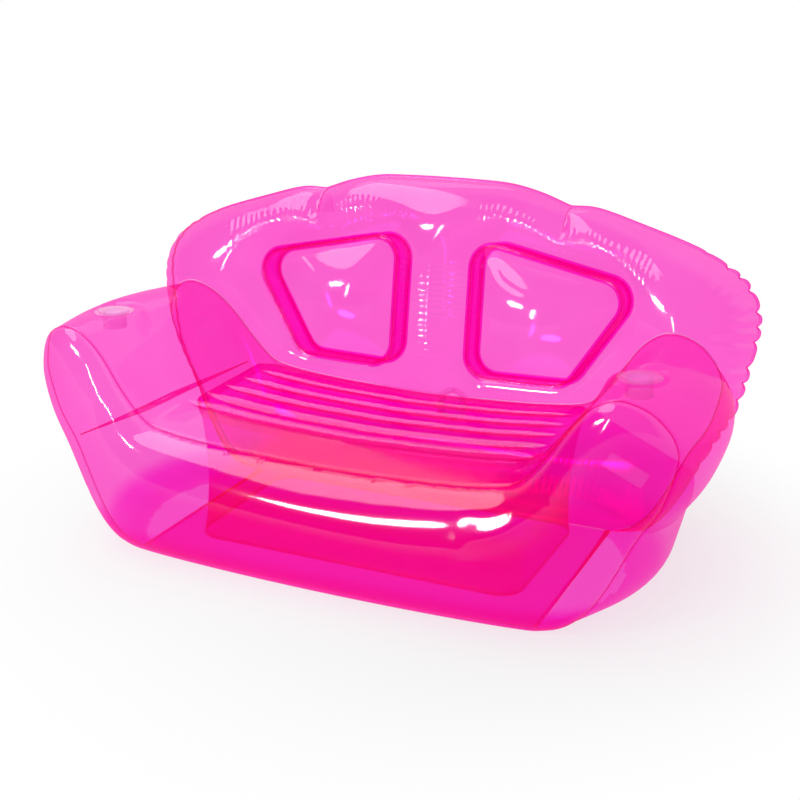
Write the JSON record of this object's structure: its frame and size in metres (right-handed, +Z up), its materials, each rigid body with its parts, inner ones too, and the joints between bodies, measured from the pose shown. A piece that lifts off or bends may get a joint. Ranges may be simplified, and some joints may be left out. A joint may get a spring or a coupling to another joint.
{
  "type": "inflatable sofa",
  "caption": "Transparent pink inflatable sofa with two arm lobes, a ribbed seat and a back with two windows, drawn as welded film panels with inner baffles and air valves.",
  "frame": {"origin": "middle of the width and depth, on the floor that the sofa stands on", "axes": "+X along the sofa's width, to the right of a viewer in front of it; +Y to the back; +Z up"},
  "size_m": [1.5062, 0.79, 0.7526],
  "materials": {
    "pink_film": "transparent glossy pink film",
    "clear_valve": "moulded clear pink plastic"
  },
  "bodies": {
    "sofa": {"arm_and_seat_sheet": "pink_film", "arm_web_left": "pink_film", "arm_web_right": "pink_film", "back_front_sheet": "pink_film", "back_rear_sheet": "pink_film", "floor_panel": "pink_film", "front_panel": "pink_film", "notch_tie_left": "pink_film", "notch_tie_right": "pink_film", "seat_baffle": "pink_film", "seat_web_1": "pink_film", "seat_web_2": "pink_film", "seat_web_3": "pink_film", "seat_web_4": "pink_film", "valve_left_body": "clear_valve", "valve_rear_body": "clear_valve", "valve_right_body": "clear_valve", "window_baffle_left": "pink_film", "window_baffle_right": "pink_film"},
    "valve_left_cap": {"valve_left_cap": "clear_valve"},
    "valve_left_flap": {"valve_left_flap": "clear_valve"},
    "valve_rear_cap": {"valve_rear_cap": "clear_valve"},
    "valve_rear_flap": {"valve_rear_flap": "clear_valve"},
    "valve_right_cap": {"valve_right_cap": "clear_valve"},
    "valve_right_flap": {"valve_right_flap": "clear_valve"}
  },
  "joints": [
    {"name": "valve_left_cap_hinge", "type": "hinge", "parent": "sofa", "child": "valve_left_cap", "pos_m": [-0.642, -0.14961, 0.48856], "axis": [0, -1, 0], "range_deg": [0, 160]},
    {"name": "valve_left_flap_hinge", "type": "hinge", "parent": "sofa", "child": "valve_left_flap", "pos_m": [-0.6281, -0.14961, 0.45086], "axis": [0, 1, 0], "range_deg": [0, 70], "stiffness_Nm_per_rad": 0.004, "springref_deg": -34.38},
    {"name": "valve_rear_cap_hinge", "type": "hinge", "parent": "sofa", "child": "valve_rear_cap", "pos_m": [0, 0.3719, 0.14189], "axis": [-1, 0, 0], "range_deg": [0, 160]},
    {"name": "valve_rear_flap_hinge", "type": "hinge", "parent": "sofa", "child": "valve_rear_flap", "pos_m": [0, 0.33676, 0.16137], "axis": [1, 0, 0], "range_deg": [0, 70], "stiffness_Nm_per_rad": 0.004, "springref_deg": -34.38},
    {"name": "valve_right_cap_hinge", "type": "hinge", "parent": "sofa", "child": "valve_right_cap", "pos_m": [0.642, -0.14961, 0.48856], "axis": [0, 1, 0], "range_deg": [0, 160]},
    {"name": "valve_right_flap_hinge", "type": "hinge", "parent": "sofa", "child": "valve_right_flap", "pos_m": [0.6281, -0.14961, 0.45086], "axis": [0, -1, 0], "range_deg": [0, 70], "stiffness_Nm_per_rad": 0.004, "springref_deg": -34.38}
  ]
}
